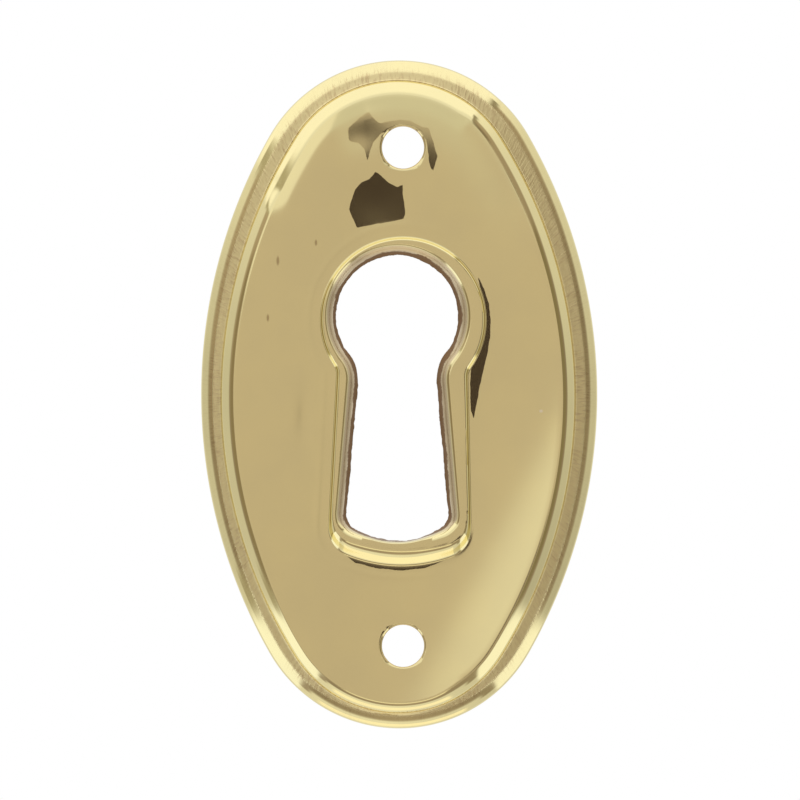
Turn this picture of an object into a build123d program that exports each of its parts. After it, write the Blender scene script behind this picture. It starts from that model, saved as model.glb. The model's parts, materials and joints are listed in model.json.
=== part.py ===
from build123d import *

import os

# Keyhole escutcheon: an oval plate pressed from thin sheet brass, with a raised pad round the keyhole.
# The plate stands upright as it is fixed to a drawer front or a door: Z is up, the face looks along -Y,
# and the cut edge of the rim lies on the wood at Y = 0. The origin is midway between the two pin holes.
# Lengths are in millimetres. Every height is counted from the wood towards the face.

# The sheet and the smallest inside radius that it is bent to
sheet = 0.40
bend_inside = 0.08

# The oval outline has two end arcs and two side arcs, and was trimmed a little off the pin holes' line
oval_height = 38.1
oval_width = 22.6
end_radius = 8.5
trim_shift_x = -0.22
trim_shift_z = 0.13

# The rim is a turned-down lip and a flat band
rim_height = 0.90
lip_inside = 0.35
band_width_ends = 1.015
band_width_sides = 1.17

# The step up to the field was pressed before the outline was trimmed, so its oval lies a little off the outline
step_end_radius = 6.96
step_shift_x = -0.28
step_shift_z = 0.00
step_height = 0.79
step_foot_reach = 0.12
shoulder_inside = 0.35

# The field slopes up from the shoulder and rolls over into a flat middle
border_run = 1.16
border_rise = 0.18
crown_inside = 5.00
crown_reach = 0.60

# The raised pad round the keyhole, counted down from the centre of its round end
pad_centre_z = 4.38
pad_turn = -0.9
pad_round_radius = 4.69
pad_half_width_top = 3.60
pad_half_width_low = 4.08
pad_low_drop = 12.87
pad_base_drop = 14.01
pad_corner_radius = 1.70
pad_neck_radius = 0.90

# The pad's sloping wall
pad_rise = 0.50
pad_wall_run = 0.30
pad_foot_inside = 0.22
pad_crest_inside = 0.10
pad_foot_reach = 0.30
pad_crest_reach = 0.35

# The keyhole, punched after the pad was pressed and a little off its centre
punch_shift_x = -0.33
punch_shift_z = 0.20
key_round_radius = 3.48
key_half_width_top = 1.92
key_half_width_low = 2.94
key_low_drop = 11.74
key_base_drop = 12.78
key_corner_radius = 1.00
key_neck_radius = 2.30

# The keyhole's edge is turned in: a rounded mouth, then a short wall that draws in towards the wood
mouth_radius = 0.43
turned_in_depth = 1.00
wall_draw = 0.18

# The two pin holes
pin_spacing = 28.38
pin_hole_radius = 1.20
pin_edge_eased = 0.10

# Flat stretches of sheet lap by this much where two pressed forms join
lap = 0.10

lip_end = sheet + lip_inside + lap
step_top = rim_height + step_height
field_height = step_top + border_rise
pad_top = field_height + pad_rise
border_end = border_run + crown_reach
wall_end = pad_top - turned_in_depth
edge_reach = sheet + wall_draw / 2
pad_flat_start = pad_wall_run + pad_crest_reach

FRONT = Vector(0, -1, 0)


def tool_plane(x, z, turn=0):
    """The plane of one press tool on the wood: local x is X, local y is Z, turned about its own centre."""
    across = Vector(1, 0, 0).rotate(Axis((0, 0, 0), FRONT), turn)
    return Plane(origin=(x, 0, z), x_dir=across, z_dir=FRONT)


trim = tool_plane(trim_shift_x, trim_shift_z)
step_die = tool_plane(step_shift_x, step_shift_z)
pad_die = tool_plane(0, pad_centre_z, pad_turn)
punch = tool_plane(punch_shift_x, pad_centre_z + punch_shift_z)


def square_to(path):
    """The plane square to a loop at its start: local x points into the loop, local y to the front."""
    along = path % 0
    return Plane(origin=path @ 0, x_dir=FRONT.cross(along), z_dir=along)


def oval(plane, sizes, inset=0):
    """A four-arc oval of a height, a width and an end radius, inset all round, drawn upwards from its right side."""
    half_height = sizes[0] / 2
    half_width = sizes[1] / 2
    end = sizes[2]
    side = (half_width**2 + half_height**2 - 2 * half_height * end) / (2 * (half_width - end))
    side_centre = Vector(half_width - side, 0)
    end_centre = Vector(0, half_height - end)
    meet = end_centre + (end_centre - side_centre).normalized() * (end - inset)
    right = Vector(half_width - inset, 0)
    top = Vector(0, half_height - inset)
    with BuildSketch(plane) as shape:
        with BuildLine():
            ThreePointArc((meet.X, -meet.Y), right, meet)
            ThreePointArc(meet, top, (-meet.X, meet.Y))
            ThreePointArc((-meet.X, meet.Y), -right, -meet)
            ThreePointArc(-meet, -top, (meet.X, -meet.Y))
        make_face()
    return shape


def keyhole(plane, sizes, grow=0):
    """A round end at the plane's origin over a slot that widens downwards to a curved base, grown all round."""
    round_radius, half_width_top, half_width_low, low_drop, base_drop, corner_radius, neck_radius = sizes
    with BuildSketch(plane) as shape:
        with BuildLine():
            sides = Polyline(
                (half_width_low, -low_drop),
                (half_width_top, 0),
                (-half_width_top, 0),
                (-half_width_low, -low_drop),
            )
            ThreePointArc(sides @ 1, (0, -base_drop), sides @ 0)
        make_face()
        fillet(shape.vertices().group_by(Axis.Y)[0], corner_radius)
        Circle(round_radius)
        fillet(shape.vertices().group_by(Axis.Y)[-1], neck_radius)
        if grow:
            offset(amount=grow)
    return shape


def bent_sheet(plane, corners, bends):
    """The section of a strip of sheet whose face follows the corners, with the inside radius of each bend."""
    face = [Vector(*corner) for corner in corners]
    runs = [(end - start).normalized() for start, end in zip(face, face[1:])]
    behind = [Vector(run.Y, -run.X) for run in runs]
    miters = [(a + b) / (1 + a.dot(b)) for a, b in zip(behind, behind[1:])]
    back = [corner + way * sheet for corner, way in zip(face, [behind[0], *miters, behind[-1]])]
    hollow = [a.cross(b).Z > 0 for a, b in zip(runs, runs[1:])]
    face_radii = [radius if inward else radius + sheet for radius, inward in zip(bends, hollow)]
    back_radii = [radius + sheet if inward else radius for radius, inward in zip(bends, hollow)]
    with BuildSketch(plane) as section:
        with BuildLine():
            FilletPolyline(*face, radius=face_radii)
            FilletPolyline(*back, radius=back_radii)
            Line(face[0], back[0])
            Line(face[-1], back[-1])
        make_face()
    return section


def mouth_tool(plane):
    """The section cut away along the keyhole's edge: the drawn-in wall and the rounded mouth above it."""
    wall_foot = Vector(0, wall_end)
    wall_top = Vector(-wall_draw, pad_top - mouth_radius)
    mouth_edge = Vector(-wall_draw - mouth_radius, pad_top)
    with BuildSketch(plane) as section:
        with BuildLine():
            Line(wall_foot, wall_top)
            RadiusArc(wall_top, mouth_edge, mouth_radius)
            Polyline(mouth_edge, (mouth_edge.X, pad_top + lap), (lap, pad_top + lap), (lap, wall_end), wall_foot)
        make_face()
    return section


def pin_tool(z):
    """Half the section of a pin hole at a height z: a plain bore with its edge eased at the face."""
    above = pad_top - field_height
    with BuildSketch(Plane(origin=(0, 0, z), x_dir=(1, 0, 0), z_dir=(0, 0, -1))) as section:
        with BuildLine():
            Polyline(
                (0, 0),
                (pin_hole_radius, 0),
                (pin_hole_radius, field_height - pin_edge_eased),
                (pin_hole_radius + pin_edge_eased + above, pad_top),
                (0, pad_top),
                close=True,
            )
        make_face()
    return section


outline_sizes = [oval_height, oval_width, end_radius]
step_sizes = [oval_height - 2 * band_width_ends, oval_width - 2 * band_width_sides, step_end_radius]
outline = oval(trim, outline_sizes).sketch.face().outer_wire()
step_foot = oval(step_die, step_sizes).sketch.face().outer_wire()
pad_sizes = [
    pad_round_radius,
    pad_half_width_top,
    pad_half_width_low,
    pad_low_drop,
    pad_base_drop,
    pad_corner_radius,
    pad_neck_radius,
]
key_sizes = [
    key_round_radius,
    key_half_width_top,
    key_half_width_low,
    key_low_drop,
    key_base_drop,
    key_corner_radius,
    key_neck_radius,
]
pad_foot = keyhole(pad_die, pad_sizes).sketch.face().outer_wire()
key_edge = keyhole(punch, key_sizes).sketch.face().outer_wire()

lip_corners = [
    (0, 0),
    (0, rim_height),
    (lip_end, rim_height),
]
step_corners = [
    (-step_foot_reach, rim_height),
    (0, rim_height),
    (0, step_top),
    (border_run, field_height),
    (border_end, field_height),
]
step_bends = [bend_inside, shoulder_inside, crown_inside]
pad_corners = [
    (-pad_foot_reach, field_height),
    (0, field_height),
    (pad_wall_run, pad_top),
    (pad_flat_start + lap, pad_top),
]

with BuildPart() as plate:
    # The flat band, open inside the step's foot
    extrude(oval(trim.offset(rim_height), outline_sizes, lip_end - lap / 2).sketch, amount=-sheet)
    extrude(oval(step_die, step_sizes, lap / 4 - step_foot_reach).sketch, amount=rim_height, mode=Mode.SUBTRACT)

    # The flat middle of the field, open where the pad is raised
    extrude(oval(step_die.offset(field_height), step_sizes, border_end - lap).sketch, amount=-sheet)
    extrude(keyhole(pad_die, pad_sizes, pad_foot_reach - lap).sketch, amount=pad_top, mode=Mode.SUBTRACT)

    # The lip, carried round the outline
    sweep(bent_sheet(square_to(outline), lip_corners, [lip_inside]).sketch, path=outline)

    # The step and the sloping border of the field, carried round the step's foot
    sweep(bent_sheet(square_to(step_foot), step_corners, step_bends).sketch, path=step_foot)

    # The pad's wall, carried round its foot, and its flat top
    sweep(bent_sheet(square_to(pad_foot), pad_corners, [pad_foot_inside, pad_crest_inside]).sketch, path=pad_foot)
    extrude(keyhole(pad_die.offset(pad_top), pad_sizes, -pad_flat_start).sketch, amount=-sheet)

    # The keyhole's turned-in edge, left solid until the punch goes through it
    extrude(keyhole(punch.offset(wall_end), key_sizes, edge_reach).sketch, amount=turned_in_depth - sheet / 2)

    # The punch: the keyhole right through, with a rounded mouth and a wall that draws in towards the wood
    extrude(keyhole(punch, key_sizes).sketch, amount=2 * pad_top, mode=Mode.SUBTRACT)
    sweep(mouth_tool(square_to(key_edge)).sketch, path=key_edge, mode=Mode.SUBTRACT)

    # The pin holes, with their edges eased on the face
    for pin_z in (pin_spacing / 2, -pin_spacing / 2):
        revolve(pin_tool(pin_z).sketch, axis=Axis((0, 0, pin_z), FRONT), mode=Mode.SUBTRACT)

plate.part.label = "escutcheon_plate"
os.makedirs("parts", exist_ok=True)
export_step(plate.part, "parts/escutcheon_plate.step")
print(f"escutcheon_plate: {plate.part.volume:.1f} cubic mm, {len(plate.faces())} faces")
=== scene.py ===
"""Looks for a keyhole escutcheon: pressed and polished brass with a grained rim band, in a plain studio.

Lengths are in metres. The plate stands upright: Z is up, the face looks along -Y, the wood is at Y = 0.
On the face, x runs to the right and z upwards. Azimuths run clockwise from straight up, seen from the front.
"""

import json
import math

import bpy
import numpy as np
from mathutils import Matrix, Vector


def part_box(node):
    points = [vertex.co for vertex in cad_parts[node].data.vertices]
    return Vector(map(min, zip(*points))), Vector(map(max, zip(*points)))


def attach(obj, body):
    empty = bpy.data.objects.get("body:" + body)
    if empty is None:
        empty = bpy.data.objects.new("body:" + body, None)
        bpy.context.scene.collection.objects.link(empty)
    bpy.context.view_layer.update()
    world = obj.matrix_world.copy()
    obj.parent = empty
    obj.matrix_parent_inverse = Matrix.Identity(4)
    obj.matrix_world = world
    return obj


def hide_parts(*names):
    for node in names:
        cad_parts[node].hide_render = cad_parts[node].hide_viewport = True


bl_info = {
    "name": "Keyhole escutcheon",
    "version": (1, 0, 0),
    "blender": (4, 5, 0),
    "location": "3D View > Sidebar > Escutcheon",
    "description": "Pressed brass keyhole escutcheon with its finish, in a plain studio",
    "category": "Add Mesh",
}

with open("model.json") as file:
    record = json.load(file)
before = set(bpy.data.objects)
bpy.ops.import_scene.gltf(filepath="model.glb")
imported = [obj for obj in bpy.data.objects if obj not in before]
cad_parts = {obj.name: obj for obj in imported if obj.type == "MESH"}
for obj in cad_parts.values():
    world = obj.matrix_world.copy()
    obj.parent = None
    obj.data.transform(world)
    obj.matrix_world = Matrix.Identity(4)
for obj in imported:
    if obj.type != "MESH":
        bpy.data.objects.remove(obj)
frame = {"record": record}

MM = 0.001
PLATE = "escutcheon_plate"
PLATE_LOW, PLATE_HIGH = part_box(PLATE)
MOUNTS = {mount["name"]: mount for mount in frame["record"]["mounts"]}
PIN_SPACING = MOUNTS["pin_holes"]["dims"]["spacing_y_mm"] * MM
PIN_HOLE_RADIUS = MOUNTS["pin_holes"]["dims"]["hole_r_mm"] * MM
FIELD_HEIGHT = -MOUNTS["pin_holes"]["pos_m"][1]
PAD_TOP = -PLATE_LOW.y

# The four-arc oval of the outline, and how far it is trimmed off the pin holes' line
END_RADIUS = 8.5 * MM
HALF_WIDTH = (PLATE_HIGH.x - PLATE_LOW.x) / 2
HALF_HEIGHT = (PLATE_HIGH.z - PLATE_LOW.z) / 2
TRIM_SHIFT = np.array([PLATE_LOW.x + PLATE_HIGH.x, PLATE_LOW.z + PLATE_HIGH.z]) / 2

# The step has its own oval, a little off the outline: its middle, how far it lies inside the outline at the
# ends and at the sides, and its end radius. The band makes up for it over the last part of its width.
STEP_SHIFT = np.array([-0.28 * MM, 0.0])
STEP_IN_ENDS = 1.015 * MM
STEP_IN_SIDES = 1.17 * MM
STEP_END_RADIUS = 6.96 * MM
BAND_SHIFT_START = 0.75 * MM
BAND_SHIFT_END = 1.08 * MM

# The lip rolls over into a band that slopes a little outwards
ROLL_RUN = 0.62 * MM
ROLL_SLOPE = math.radians(20)
ROLL_RADIUS = 1.60 * MM
BAND_SLOPE = math.radians(7)

# The step's foot, and the border that rises from the shoulder to the flat of the field
FOLD_RADIUS = 0.10 * MM
STEP_DRAW = 0.05 * MM
BORDER_RISE = 0.12 * MM
CROWN_RADIUS = 0.90 * MM
CROWN_REACH = 0.60 * MM

# Slow turns of the border where it isn't a plain round: middle azimuth, half width and softness in degrees,
# inset and width in metres, and the slope at that inset, outwards where it is positive
BORDER_TURNS = (
    (345, 44, 6, 1.85 * MM, 0.45 * MM, math.radians(6.0)),
    (15, 35, 20, 3.20 * MM, 1.80 * MM, math.radians(0.9)),
)

# The border is narrower about the bottom: middle azimuth, half width and softness in degrees, and how much
BORDER_SQUEEZE = (200, 32, 20, 0.32)

# The field turns up a little towards the lower right: azimuth, start, softness and slope
RAMP = (math.radians(118), 7.6 * MM, 1.1 * MM, math.radians(2.2))

# Shallow hollows, two by the upper pin hole and one left of the keyhole: middle, half widths across and up,
# and depth, all in metres
DENTS = (
    (-1.40 * MM, 11.20 * MM, 1.60 * MM, 1.60 * MM, 0.012 * MM),
    (-2.40 * MM, 14.80 * MM, 1.20 * MM, 1.00 * MM, 0.008 * MM),
    (-5.60 * MM, -1.30 * MM, 0.45 * MM, 1.60 * MM, 0.008 * MM),
)

# Flat spots by the upper pin hole, to the right of the pad and below it, as outlines on the face in
# millimetres, and the azimuth and angle of their lean. They are too slight to model, so only their normals
# are turned.
FLAT_SPOTS = (
    (
        (-1.56, 12.85), (-0.86, 12.21), (-0.32, 11.92), (0.0, 12.13), (-0.03, 11.7), (0.15, 10.43),
        (0.04, 10.11), (-2.63, 9.61), (-3.09, 10.68), (-2.74, 11.78), (-2.38, 12.21), (-1.8, 12.45),
    ),
    (
        (-1.95, 16.23), (-1.66, 15.83), (-1.31, 15.57), (-0.74, 15.69), (-0.17, 15.80), (0.40, 15.72),
        (1.11, 15.37), (1.50, 15.29), (1.71, 14.57), (1.96, 13.63), (1.76, 13.04), (1.68, 12.64),
        (1.47, 13.49), (1.33, 14.56), (0.97, 15.10), (0.40, 15.43), (-0.17, 15.52), (-0.74, 15.36),
        (-1.31, 14.92), (-1.67, 14.49), (-1.85, 14.06), (-2.03, 13.42), (-2.20, 14.13), (-2.52, 14.42),
        (-3.09, 14.56), (-3.17, 15.27), (-2.45, 15.91),
    ),
    (
        (4.27, 6.82), (4.64, 6.08), (4.90, 5.23), (4.98, 4.37), (4.96, 3.40), (4.81, 2.55), (4.61, 1.64),
        (4.41, 0.84), (4.27, 0.10), (4.13, -0.64), (4.02, -1.21), (3.86, -0.76), (3.83, 0.10), (3.82, 0.84),
        (3.87, 1.52), (4.13, 2.09), (4.41, 2.66), (4.64, 3.52), (4.73, 4.37), (4.63, 5.40), (4.44, 6.02),
    ),
    (
        (-3.25, -9.05), (-2.74, -9.43), (-1.60, -9.76), (-0.17, -9.90), (1.25, -9.75), (2.68, -9.18),
        (3.53, -8.60), (4.00, -7.85), (3.53, -8.25), (2.68, -8.84), (1.25, -9.36), (-0.17, -9.50),
        (-1.60, -9.36), (-2.74, -9.02),
    ),
)
SPOT_AZIMUTH = math.radians(128)
SPOT_LEAN = math.radians(2.0)

# A faint ridge that follows the pad outside it: its distance, half width and height, and how far to the right
# it fades out
RIDGE = (0.72 * MM, 0.16 * MM, 0.0020 * MM)
RIDGE_FADE = 3.0 * MM

# Small marks on the field: place across and up, half sizes, and colour
TICK = (0.34, 0.24, 0.11, 1)
PALE = (0.95, 0.90, 0.80, 1)
MARKS = (
    (-7.13 * MM, 7.74 * MM, 0.10 * MM, 0.30 * MM, TICK),
    (-7.70 * MM, 4.49 * MM, 0.09 * MM, 0.24 * MM, TICK),
    (-4.96 * MM, 8.77 * MM, 0.09 * MM, 0.20 * MM, TICK),
    (7.86 * MM, -0.82 * MM, 0.12 * MM, 0.10 * MM, PALE),
)

# Keyhole shapes: round radius, half widths at top and bottom, drops to them, corner and neck radii
PAD_SHAPE = (4.69 * MM, 3.60 * MM, 4.08 * MM, 12.87 * MM, 13.93 * MM, 1.70 * MM, 0.90 * MM)
KEY_SHAPE = (3.48 * MM, 1.92 * MM, 2.94 * MM, 11.74 * MM, 12.78 * MM, 1.00 * MM, 2.30 * MM)
PAD_CENTRE = np.array([0.0, 4.38 * MM])
PAD_TURN = math.radians(-0.9)
KEY_CENTRE = np.array([-0.33 * MM, 4.58 * MM])

# The pad's wall, and how much wider it is by the place up from the round end's centre
PAD_WALL_RUN = 0.30 * MM
PAD_FOOT_REACH = 0.30 * MM
PAD_CREST_REACH = 0.35 * MM
PAD_FOOT_RADIUS = 0.12 * MM
PAD_CREST_RADIUS = 0.35 * MM
PAD_FORM = np.array(
    [
        (-13.4 * MM, 1.75),
        (-12.9 * MM, 1.50),
        (-12.2 * MM, 0.80),
        (-11.4 * MM, 0.40),
        (-10.4 * MM, 0.30),
        (3.80 * MM, 0.26),
    ]
)

# Slopes of the keyhole's mouth where it leaves the pad's top and where it meets its wall
MOUTH_SLOPES = np.radians([25, 80])

# The mouth is narrower at the keyhole's base: heights on the face, and the share of its width there
MOUTH_FORM = np.array([(-8.0 * MM, 0.30), (-7.0 * MM, 1.0)])

# How far the keyhole's cut edge strays from its line, the seed of its burrs, and the fine and the coarse run
# of random steps that they are made of: how many steps each is summed over, and the share of a step
BURR_REACH = 0.045 * MM
BURR_SEED = 7
BURR_RUNS = ((3, 0.15), (14, 0.075))

# The pin holes, their eased edges and how far round each the mesh is laid in rings
PINS = np.array([(0, PIN_SPACING / 2), (0, -PIN_SPACING / 2)])
PIN_EASED = 0.06 * MM
PIN_BLOCK = 1.75 * MM
PIN_RINGS = 9
PIN_SPREAD = 1.5

# How the surface is divided, and where it is shaded as an edge
AROUND = 480
RIM_STEPS = (8, 4, 6, 14, 6)
PAD_STEPS = (5, 8)
WALL_STEPS = 3
MOUTH_STEPS = 8
CREST_RINGS = 14
CREST_SPREAD = 2
FIELD_RINGS = 46
FIELD_SPREAD = 1.25
RIM_STEP = 0.35 * MM
TINY = 1e-8
EDGE_ANGLE = math.radians(50)

# The finishes, as the order of the plate's materials
FACE, BACK, CUT = range(3)

# Where the face's finishes begin and end: the band's grain and its wear by the inset from the outline, the
# grey of the keyhole's mouth and the browned cut by the way over the keyhole's edge, the grey's foot by the
# height on the face, and the flat spots by the depth inside their outlines
GRAIN_START = (0.55 * MM, 0.72 * MM)
GRAIN_END = (-0.02 * MM, 0.03 * MM)
WEAR_START = (0.30 * MM, 0.60 * MM)
MOUTH_GREY_START = (0.03 * MM, 0.16 * MM)
MOUTH_GREY_FOOT = (-8.1 * MM, -7.2 * MM)
BROWN_START = (0.60 * MM, 0.66 * MM)
SPOT_START = (0.02 * MM, 0.08 * MM)

# The sizes of the patterns' lumps, how far they shift the edges of the mouth's grey, the browned cut and the
# spots, and how deep the bumps are
GRAIN_SIZE = 0.11 * MM
RAGGED_SIZE = 0.12 * MM
UNEVEN_SIZE = 1.5 * MM
CLOUD_SIZE = 3.0 * MM
SPOT_SIZE = 0.5 * MM
MOUTH_GREY_SHIFT = 0.05 * MM
BROWN_SHIFT = 0.30 * MM
BROWN_RAGGED = 0.16 * MM
SPOT_SHIFT = 0.10 * MM
GRAIN_DEPTH = 0.014 * MM
RAW_CLOUD_SIZE = 2.5 * MM
RAW_GLOSS_SIZE = 0.8 * MM
RAW_LUMP_SIZE = 0.2 * MM
RAW_LUMP_DEPTH = 0.004 * MM
CUT_LUMP_SIZE = 0.15 * MM
CUT_LUMP_DEPTH = 0.03 * MM

# Kinds of socket of the shader node groups
FLOAT = "NodeSocketFloat"
VECTOR = "NodeSocketVector"
COLOUR = "NodeSocketColor"

# Second colours of the finishes
CLOUDED = (0.86, 0.765, 0.425, 1)
BAND_TONE = (0.80, 0.66, 0.36, 1)
WORN = (0.52, 0.36, 0.19, 1)
# Painted shade round the pin holes: a brown tint that darkens their eased edges
PIN_PAINTED_SHADE = (0.50, 0.34, 0.14, 1)
RAW_SHADE = (0.55, 0.41, 0.19, 1)
CUT_SHADE = (0.34, 0.21, 0.10, 1)

# What the frame takes in at the rim's distance: its height, its middle measured from the origin, and how far
# the rim stands off the wood
FRAME_HEIGHT = 45.59 * MM
FRAME_CENTRE = (-0.174 * MM, -0.188 * MM)
FRAME_PLANE = 0.9 * MM

# The floor: how far it reaches forwards and to the sides, and to the back, its colour and its own light
FLOOR_REACH = 0.5
FLOOR_BACK = 0.18
FLOOR_COLOUR = (0.8, 0.8, 0.8, 1)
FLOOR_GLOW = 0.45
WHITE = (1, 1, 1, 1)

# The studio round the camera: the room behind it, the dim front of the tent and the tent's walls. The levels
# of the last two are given at azimuths in degrees clockwise from straight up.
ROOM = (0.606, 0.529, 0.453)
DIM_TINT = (1.12, 0.93, 0.76)
WALL_TINT = (1.02, 1.00, 0.94)
DIM_LEVELS = (
    *((45, 0.40), (60, 0.36), (80, 0.24), (105, 0.28), (150, 0.30)),
    *((180, 0.38), (215, 0.28), (265, 0.28), (290, 0.42)),
)
WALL_LEVELS = (
    *((45, 0.95), (60, 0.80), (90, 0.60), (115, 0.52), (150, 0.74)),
    *((185, 0.90), (215, 0.84), (255, 0.64), (275, 0.62), (293, 0.80)),
)

# Lights and dark bars of the tent, painted in this order: middle azimuth, half width, inner and outer angle
# off the line to the camera, softness of the inner edge, all in degrees, and the colour
TENT = (
    (349, 52, 2, 60, 8, (0.92, 0.91, 0.88)),
    (349, 52, 22, 125, 16, (1.14, 1.13, 1.10)),
    (127.5, 11, 17, 110, 4, (1.12, 1.13, 1.12)),
    (233.5, 11, 15, 110, 4, (1.12, 1.15, 1.18)),
    (41.5, 1.8, 14, 60, 4, (0.30, 0.26, 0.20)),
    (298, 1.8, 14, 60, 4, (0.44, 0.40, 0.30)),
    (142, 3.5, 14, 60, 4, (0.34, 0.29, 0.23)),
    (220.5, 2.5, 14, 60, 4, (0.40, 0.34, 0.30)),
    (247, 2.5, 14, 60, 4, (0.42, 0.38, 0.30)),
    (183, 26, 11, 17, 1.5, (0.98, 0.91, 0.75)),
    (183, 30, 68, 100, 5, (1.16, 1.10, 0.95)),
    (92, 26, 9, 24, 3, (0.25, 0.21, 0.14)),
    (268, 20, 12, 24, 3, (0.28, 0.23, 0.16)),
    (15, 40, 1.5, 9, 2, (0.70, 0.68, 0.62)),
    (312, 28, 2.0, 10, 2, (0.92, 0.89, 0.82)),
    (48, 7, 5, 16, 3, (0.25, 0.20, 0.15)),
)
CAMERA = (132, 34, 1.4, 6.0, 0.5, (0.05, 0.035, 0.03))
BEHIND = (0.85, 0.84, 0.80)
EDGE_SOFTNESS = 1.5

# Angles off the line to the camera at which the dim front, the walls and the space behind the plate set in
DIM_START = (9, 16)
WALL_START = (36, 50)
BEHIND_START = (110, 150)


def direction(angle):
    """Unit vectors at the angles, counter-clockwise from +x."""
    return np.stack([np.cos(angle), np.sin(angle)], -1)


def chain(*pieces):
    """Half an outline as arrays, one row for each arc or straight run from its top to its bottom.

    A piece is its centre at its start and at its end, its radius, negative where the arc is hollow, and the
    direction of its outward normal at its start and at its end. A straight run has radius 0 and a centre
    that moves.
    """
    start, end, radius, first, last = (np.array(column, float) for column in zip(*pieces))
    length = np.hypot(*(end - start).T) + np.abs(radius * (last - first))
    return start, end, radius, first, last, length


def half_oval(half_width, half_height, end_radius):
    """The right half of a four-arc oval: an end arc, a side arc and an end arc."""
    squares = half_width**2 + half_height**2 - 2 * half_height * end_radius
    side_radius = squares / (2 * (half_width - end_radius))
    side = (half_width - side_radius, 0)
    top = (0, half_height - end_radius)
    bottom = (0, end_radius - half_height)
    meet = math.atan2(top[1], -side[0])
    return chain(
        (top, top, end_radius, math.pi / 2, meet),
        (side, side, side_radius, meet, -meet),
        (bottom, bottom, end_radius, -meet, -math.pi / 2),
    )


def half_keyhole(round_radius, top_half, low_half, low_drop, base_drop, corner_radius, neck_radius):
    """The right half of a keyhole about the centre of its round end: round, neck, side, corner and base."""
    run = np.array([low_half - top_half, -low_drop])
    run = run / np.hypot(*run)
    out = np.array([-run[1], run[0]])
    reach = out[0] * top_half
    neck_out = reach + neck_radius
    neck = out * neck_out + run * math.sqrt((round_radius + neck_radius) ** 2 - neck_out**2)
    sagitta = base_drop - low_drop
    base_radius = (low_half**2 + sagitta**2) / (2 * sagitta)
    base = np.array([0, base_radius - base_drop])
    foot = out * (reach - corner_radius) - base
    along = run @ foot
    down = math.sqrt(along**2 - foot @ foot + (base_radius - corner_radius) ** 2) - along
    corner = base + foot + run * down
    neck_turn = math.atan2(neck[1], neck[0])
    side_turn = math.atan2(out[1], out[0])
    base_turn = math.atan2(*(corner - base)[::-1])
    return chain(
        ((0, 0), (0, 0), round_radius, math.pi / 2, neck_turn),
        (neck, neck, -neck_radius, neck_turn, side_turn),
        (neck - out * neck_radius, corner + out * corner_radius, 0, side_turn, side_turn),
        (corner, corner, corner_radius, side_turn, base_turn),
        (base, base, base_radius, base_turn, -math.pi / 2),
    )


def walk(half, share):
    """Points and outward normals at shares of the way down half an outline.

    Each share of the whole length falls on one piece. There the centre and the normal's direction move
    evenly from start to end, and the point is the centre plus the radius times the normal.
    """
    start, end, radius, first, last, length = half
    ends = np.cumsum(length)
    place = share * ends[-1]
    piece = np.minimum(np.searchsorted(ends, place, side="right"), len(length) - 1)
    part = ((place - (ends - length)[piece]) / length[piece])[..., None]
    normal = direction(first[piece] + (last - first)[piece] * part[..., 0])
    return start[piece] + (end - start)[piece] * part + radius[piece][:, None] * normal, normal


def turned(points, angle):
    """The points turned counter-clockwise about the origin."""
    across = direction(angle)
    up = direction(angle + math.pi / 2)
    return points[..., :1] * across + points[..., 1:] * up


def growth(half, points):
    """How far each point lies outside an outline, negative inside.

    Each point is mirrored to the right half. Its nearest place on each arc or run is found, and the nearest
    of those gives the distance, with its sign taken from the outward normal there.
    """
    start, end, radius, first, last, _ = half
    right = np.stack([np.abs(points[..., 0]), points[..., 1]], -1)[..., None, :]
    middle = (first + last) / 2
    half_turn = np.abs(last - first) / 2
    away = (right - start) * np.where(radius < 0, -1, 1)[:, None]
    angle = np.arctan2(away[..., 1], away[..., 0]) - middle
    angle = (angle + math.pi) % (2 * math.pi) - math.pi
    normal = direction(middle + np.clip(angle, -half_turn, half_turn))
    run = end - start
    part = ((right - start) * run).sum(-1) / np.maximum((run**2).sum(-1), 1e-18)
    nearest = start + run * np.clip(part, 0, 1)[..., None] + radius[:, None] * normal
    offset = right - nearest
    distance = np.sqrt((offset**2).sum(-1)) * np.where((offset * normal).sum(-1) < 0, -1, 1)
    chosen = np.abs(distance).argmin(-1)
    return np.take_along_axis(distance, chosen[..., None], -1)[..., 0]


def bend(corners, radii, steps):
    """A bent section as an array of (inset, height): straight runs joined by arcs that are tangent to both.

    At each inner corner the arc has the given radius on the face, and is divided into the given steps.
    """
    corners = np.array(corners, float)
    points = [corners[:1]]
    for before, corner, after, radius, count in zip(corners, corners[1:], corners[2:], radii, steps):
        way_in = (corner - before) / np.hypot(*(corner - before))
        way_out = (after - corner) / np.hypot(*(after - corner))
        side = np.sign(way_in[0] * way_out[1] - way_in[1] * way_out[0])
        turn = math.acos(np.clip(way_in @ way_out, -1, 1))
        first = corner - way_in * radius * math.tan(turn / 2)
        normal = side * np.array([-way_in[1], way_in[0]])
        angle = np.linspace(0, turn, count + 1)[:, None]
        points.append(first + radius * (normal * (1 - np.cos(angle)) + way_in * np.sin(angle)))
    points.append(corners[-1:])
    return np.concatenate(points)


def divided(section, longest):
    """The section with its long runs divided evenly, so that no step is longer than the given one."""
    step = np.hypot(*np.diff(section, axis=0).T)
    counts = np.maximum(np.ceil(step / longest - 1e-6).astype(int), 1)
    knots = np.concatenate([[0], np.cumsum(counts)])
    at = np.arange(knots[-1] + 1)
    return np.stack([np.interp(at, knots, section[:, 0]), np.interp(at, knots, section[:, 1])], -1)


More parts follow.
